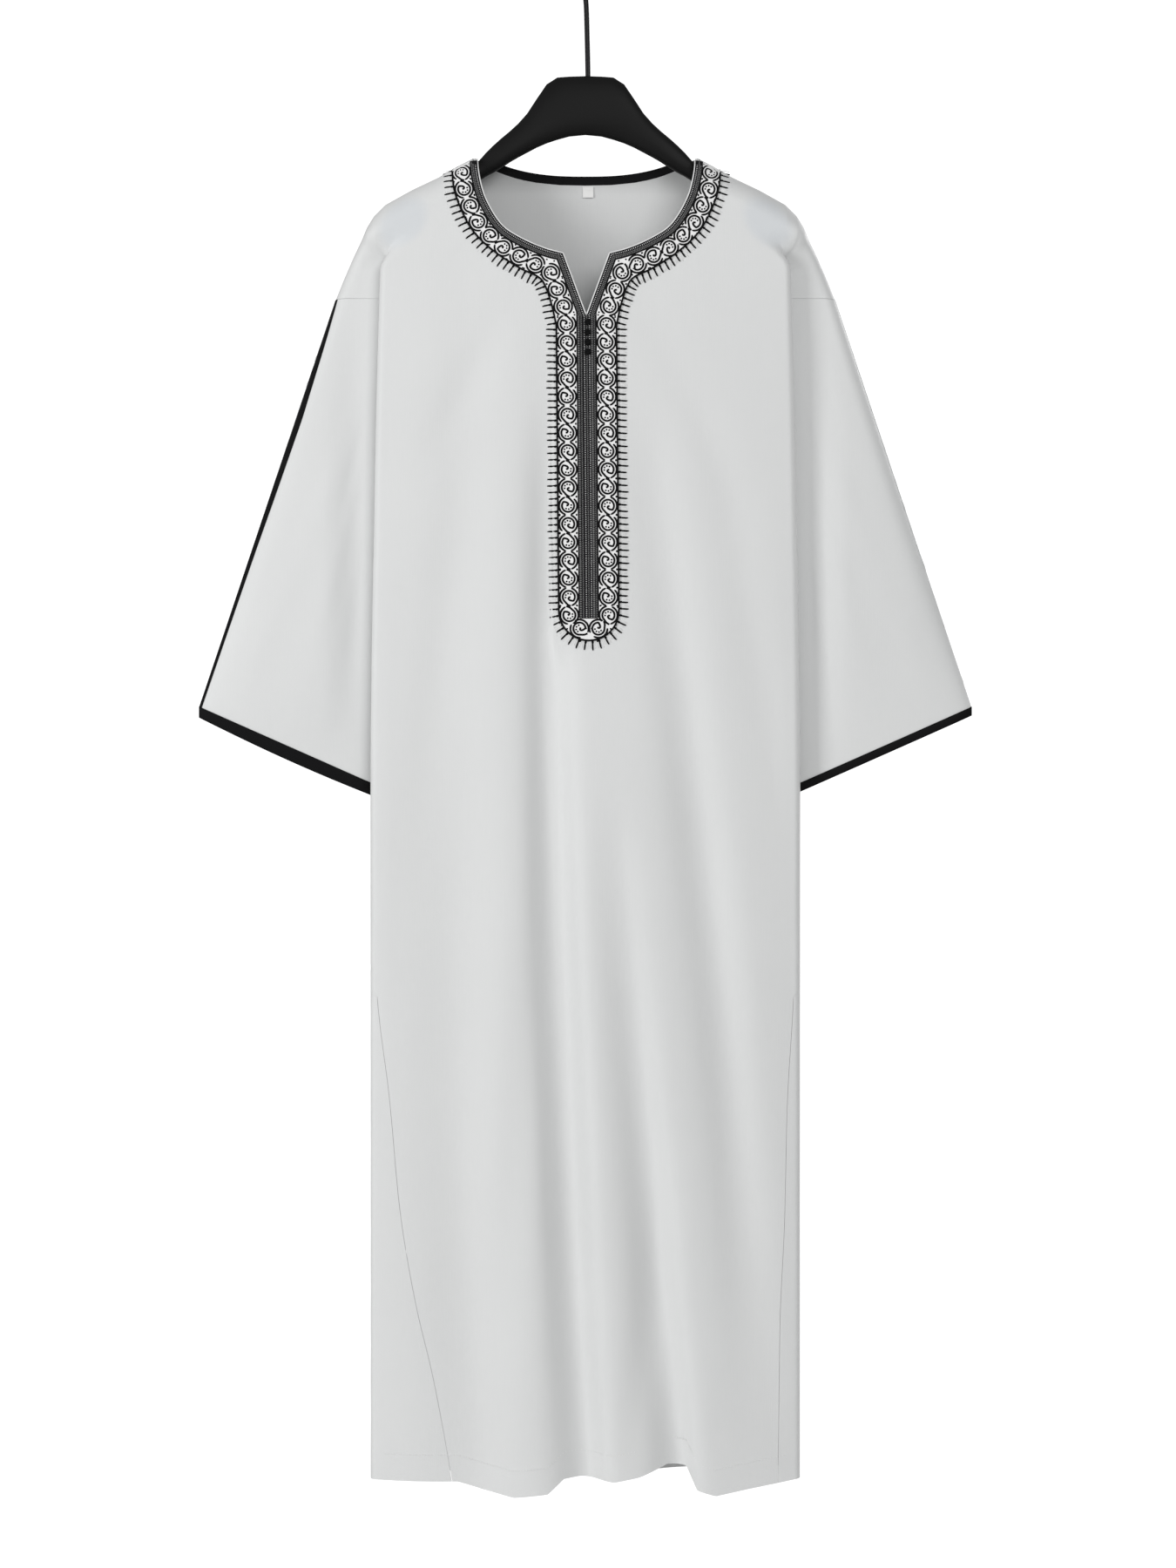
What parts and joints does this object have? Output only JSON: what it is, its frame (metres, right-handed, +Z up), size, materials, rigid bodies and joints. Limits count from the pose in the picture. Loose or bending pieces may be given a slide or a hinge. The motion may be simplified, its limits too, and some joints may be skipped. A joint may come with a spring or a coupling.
{
  "type": "embroidered robe on a hanger",
  "caption": "Long white robe with an embroidered neck and placket band, small knot buttons and black sleeve bindings, on a wide-shouldered hanger.",
  "frame": {"origin": "where the hook's wire rests on its rail, at the top of the hook's opening", "axes": "+Z up, +X towards the robe's side on the right of a viewer who faces its front, +Y away from that viewer, towards the back"},
  "size_m": [0.7988, 0.104, 1.6123],
  "materials": {
    "robe_cloth": "white satin-faced cotton, fine weave",
    "black_trim": "black binding, tape and knotted cord",
    "embroidery": "white ground with black thread motifs",
    "braid": "dense black and white woven braid",
    "label": "small bare white woven label",
    "hanger": "black moulded hanger",
    "hook": "black coated wire"
  },
  "bodies": {
    "root": {"body_front": "robe_cloth", "body_back": "robe_cloth", "gore_left": "robe_cloth", "gore_right": "robe_cloth", "sleeve_left_front": "robe_cloth", "sleeve_left_back": "robe_cloth", "sleeve_right_front": "robe_cloth", "sleeve_right_back": "robe_cloth", "cuff_binding_left": "black_trim", "cuff_binding_right": "black_trim", "sleeve_tape_left": "black_trim", "sleeve_tape_right": "black_trim", "back_neck_binding": "black_trim", "motif_band": "embroidery", "neck_braid_left": "braid", "neck_braid_right": "braid", "placket_braid": "braid", "button_1": "black_trim", "button_2": "black_trim", "button_3": "black_trim", "button_4": "black_trim", "button_5": "black_trim", "size_label": "label", "hanger_body": "hanger", "hanger_hook": "hook"}
  },
  "joints": []
}
